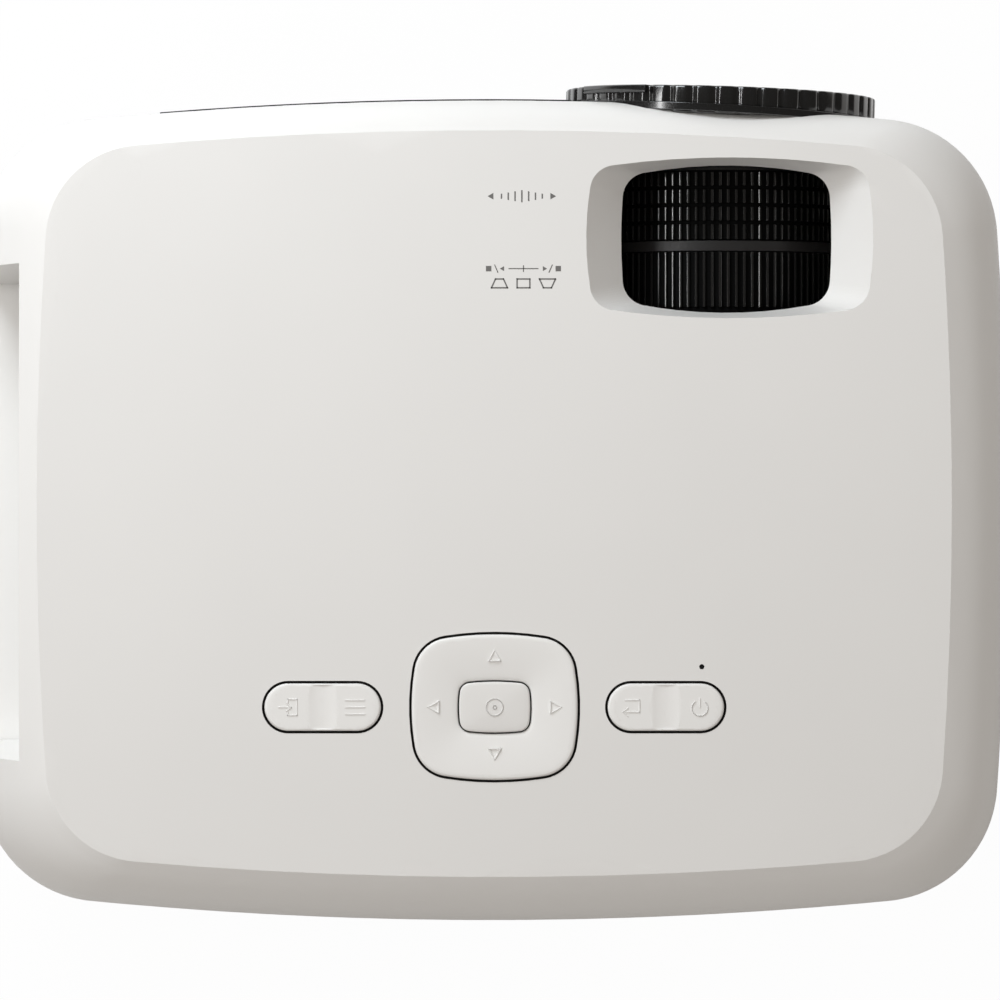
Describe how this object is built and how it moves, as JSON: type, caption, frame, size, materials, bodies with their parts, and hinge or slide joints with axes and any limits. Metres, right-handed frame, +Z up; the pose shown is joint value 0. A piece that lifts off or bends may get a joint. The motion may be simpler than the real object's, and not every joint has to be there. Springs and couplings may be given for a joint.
{
  "type": "projector with built in disc player",
  "caption": "White portable projector with a disc tray in its side, a capped lens, focus and keystone rings in a top window, and a key pad on top.",
  "frame": {"origin": "bottom centre of the whole projector's box, on the surface it stands on", "axes": "+Z up, the lens looks along -Y, the disc tray comes out along +X"},
  "size_m": [0.261, 0.2121, 0.1046],
  "materials": {
    "shell_white": "satin moulded white",
    "key_white": "satin white",
    "key_grey": "satin light grey",
    "panel_black": "fine textured black",
    "lens_black": "semi-gloss black",
    "dark_window": "dark red gloss",
    "optical_glass": "polished",
    "clear_acrylic": "clear moulded",
    "green_board": "solder mask",
    "lamp_reflector": "silvered",
    "lamp_chip": "phosphor on a white board",
    "bare_aluminium": "extruded",
    "sheet_steel": "plated sheet",
    "screw_steel": "zinc",
    "brass": "turned",
    "black_rubber": "matt",
    "key_silicone": "matt silicone",
    "filter_foam": "open cell foam",
    "speaker_metal": "black",
    "speaker_paper": "paper"
  },
  "bodies": {
    "housing": {"top_shell": "shell_white", "bottom_shell": "shell_white", "front_panel": "panel_black", "port_plate": "panel_black", "lens_mount": "panel_black", "engine_housing": "panel_black", "engine_lid": "panel_black", "exhaust_fan_frame": "panel_black", "lamp_fan_frame": "panel_black", "drive_guides": "panel_black", "power_inlet": "panel_black", "lens_collar": "lens_black", "remote_window": "dark_window", "condenser_lens": "optical_glass", "lcd_panel": "optical_glass", "collector_lens": "clear_acrylic", "status_light_pipe": "clear_acrylic", "main_board": "green_board", "power_board": "green_board", "key_board": "green_board", "drive_board": "green_board", "remote_sensor": "green_board", "lamp_reflector": "lamp_reflector", "lamp_chip": "lamp_chip", "lamp_heat_sink": "bare_aluminium", "drive_case": "sheet_steel", "signal_sockets": "sheet_steel", "dome_switches": "sheet_steel", "screws": "screw_steel", "tripod_insert": "brass", "rubber_feet": "black_rubber", "key_fulcrums": "key_silicone", "dust_filter": "filter_foam", "speaker_frame": "speaker_metal", "speaker_cone": "speaker_paper"},
    "lens_cap": {"lens_cap": "lens_black"},
    "focus_ring": {"focus_ring": "lens_black"},
    "lens_tube": {"lens_tube": "lens_black", "projection_lenses": "optical_glass"},
    "keystone_ring": {"keystone_ring": "lens_black"},
    "keystone_frame": {"keystone_frame": "panel_black", "field_lens": "clear_acrylic"},
    "disc_tray": {"disc_tray": "panel_black", "tray_bezel": "key_white", "mechanism_plate": "sheet_steel", "drive_motors": "sheet_steel"},
    "tray_rails": {"tray_rails": "sheet_steel"},
    "eject_button": {"eject_button": "key_white"},
    "disc_hub": {"disc_hub": "panel_black"},
    "pickup_sled": {"pickup_sled": "panel_black", "pickup_lens": "optical_glass"},
    "sled_screw": {"sled_screw": "sheet_steel"},
    "direction_key_rocker": {"direction_key_rocker": "key_silicone"},
    "direction_key": {"direction_key": "key_white"},
    "ok_key": {"ok_key": "key_grey"},
    "source_menu_key": {"source_menu_key": "key_white"},
    "return_power_key": {"return_power_key": "key_white"},
    "exhaust_fan_rotor": {"exhaust_fan_rotor": "panel_black"},
    "lamp_fan_rotor": {"lamp_fan_rotor": "panel_black"},
    "height_foot": {"height_foot": "black_rubber"}
  },
  "joints": [
    {"name": "lens_cap_pull", "type": "slide", "parent": "housing", "child": "lens_cap", "axis": [-0.0562, -0.9984, 0], "range_m": [0, 0.012]},
    {"name": "focus_turn", "type": "hinge", "parent": "housing", "child": "focus_ring", "pos_m": [-0.059, -0.07737, 0.06], "axis": [0, 1, 0], "range_deg": [-60, 60]},
    {"name": "lens_tube_slide", "type": "slide", "parent": "housing", "child": "lens_tube", "axis": [0, 1, 0], "range_m": [-0.003, 0.003]},
    {"name": "keystone_turn", "type": "hinge", "parent": "housing", "child": "keystone_ring", "pos_m": [-0.059, -0.05537, 0.06], "axis": [0, 1, 0], "range_deg": [-30, 30]},
    {"name": "keystone_tilt", "type": "hinge", "parent": "housing", "child": "keystone_frame", "pos_m": [-0.059, -0.01337, 0.0585], "axis": [1, 0, 0], "range_deg": [-4, 4]},
    {"name": "tray_slide", "type": "slide", "parent": "housing", "child": "disc_tray", "axis": [1, 0, 0], "range_m": [0, 0.12]},
    {"name": "rail_slide", "type": "slide", "parent": "housing", "child": "tray_rails", "axis": [1, 0, 0], "range_m": [0, 0.06]},
    {"name": "eject_press", "type": "slide", "parent": "disc_tray", "child": "eject_button", "axis": [-1, 0, 0], "range_m": [0, 0.0008], "stiffness_N_per_m": 300},
    {"name": "hub_spin", "type": "hinge", "parent": "disc_tray", "child": "disc_hub", "pos_m": [0.0565, 0.00303, 0.062], "axis": [0, 0, 1], "continuous": true},
    {"name": "screw_turn", "type": "hinge", "parent": "disc_tray", "child": "sled_screw", "pos_m": [0.04094, -0.03515, 0.0609], "axis": [-0.7071, -0.7071, 0], "range_deg": [0, 3960]},
    {"name": "sled_slide", "type": "slide", "parent": "disc_tray", "child": "pickup_sled", "axis": [-0.7071, -0.7071, 0], "range_m": [0, 0.033]},
    {"name": "direction_key_tip", "type": "hinge", "parent": "housing", "child": "direction_key_rocker", "pos_m": [-0.0012, 0.05183, 0.0973], "axis": [1, 0, 0], "range_deg": [-1.4, 1.4], "stiffness_Nm_per_rad": 0.3},
    {"name": "direction_key_roll", "type": "hinge", "parent": "direction_key_rocker", "child": "direction_key", "pos_m": [-0.0012, 0.05183, 0.0973], "axis": [0, 1, 0], "range_deg": [-1.4, 1.4], "stiffness_Nm_per_rad": 0.3},
    {"name": "ok_press", "type": "slide", "parent": "housing", "child": "ok_key", "axis": [0, 0, -1], "range_m": [0, 0.0006], "stiffness_N_per_m": 500},
    {"name": "source_menu_rock", "type": "hinge", "parent": "housing", "child": "source_menu_key", "pos_m": [0.0418, 0.05183, 0.0998], "axis": [0, 1, 0], "range_deg": [-1.8, 1.8], "stiffness_Nm_per_rad": 0.2},
    {"name": "return_power_rock", "type": "hinge", "parent": "housing", "child": "return_power_key", "pos_m": [-0.044, 0.05183, 0.0998], "axis": [0, 1, 0], "range_deg": [-1.8, 1.8], "stiffness_Nm_per_rad": 0.2},
    {"name": "exhaust_fan_spin", "type": "hinge", "parent": "housing", "child": "exhaust_fan_rotor", "pos_m": [-0.118, 0.02463, 0.048], "axis": [1, 0, 0], "continuous": true},
    {"name": "lamp_fan_spin", "type": "hinge", "parent": "housing", "child": "lamp_fan_rotor", "pos_m": [-0.059, 0.08863, 0.06], "axis": [0, 1, 0], "continuous": true},
    {"name": "height_foot_lower", "type": "slide", "parent": "housing", "child": "height_foot", "axis": [0, 0, -1], "range_m": [0, 0.012]}
  ],
  "couplings": [
    {"joint": "focus_turn", "follows": "lens_tube_slide", "rad_per_m": 349},
    {"joint": "keystone_tilt", "follows": "keystone_turn", "ratio": 0.13333},
    {"joint": "rail_slide", "follows": "tray_slide", "ratio": 0.5},
    {"joint": "screw_turn", "follows": "sled_slide", "rad_per_m": 2094.2}
  ]
}
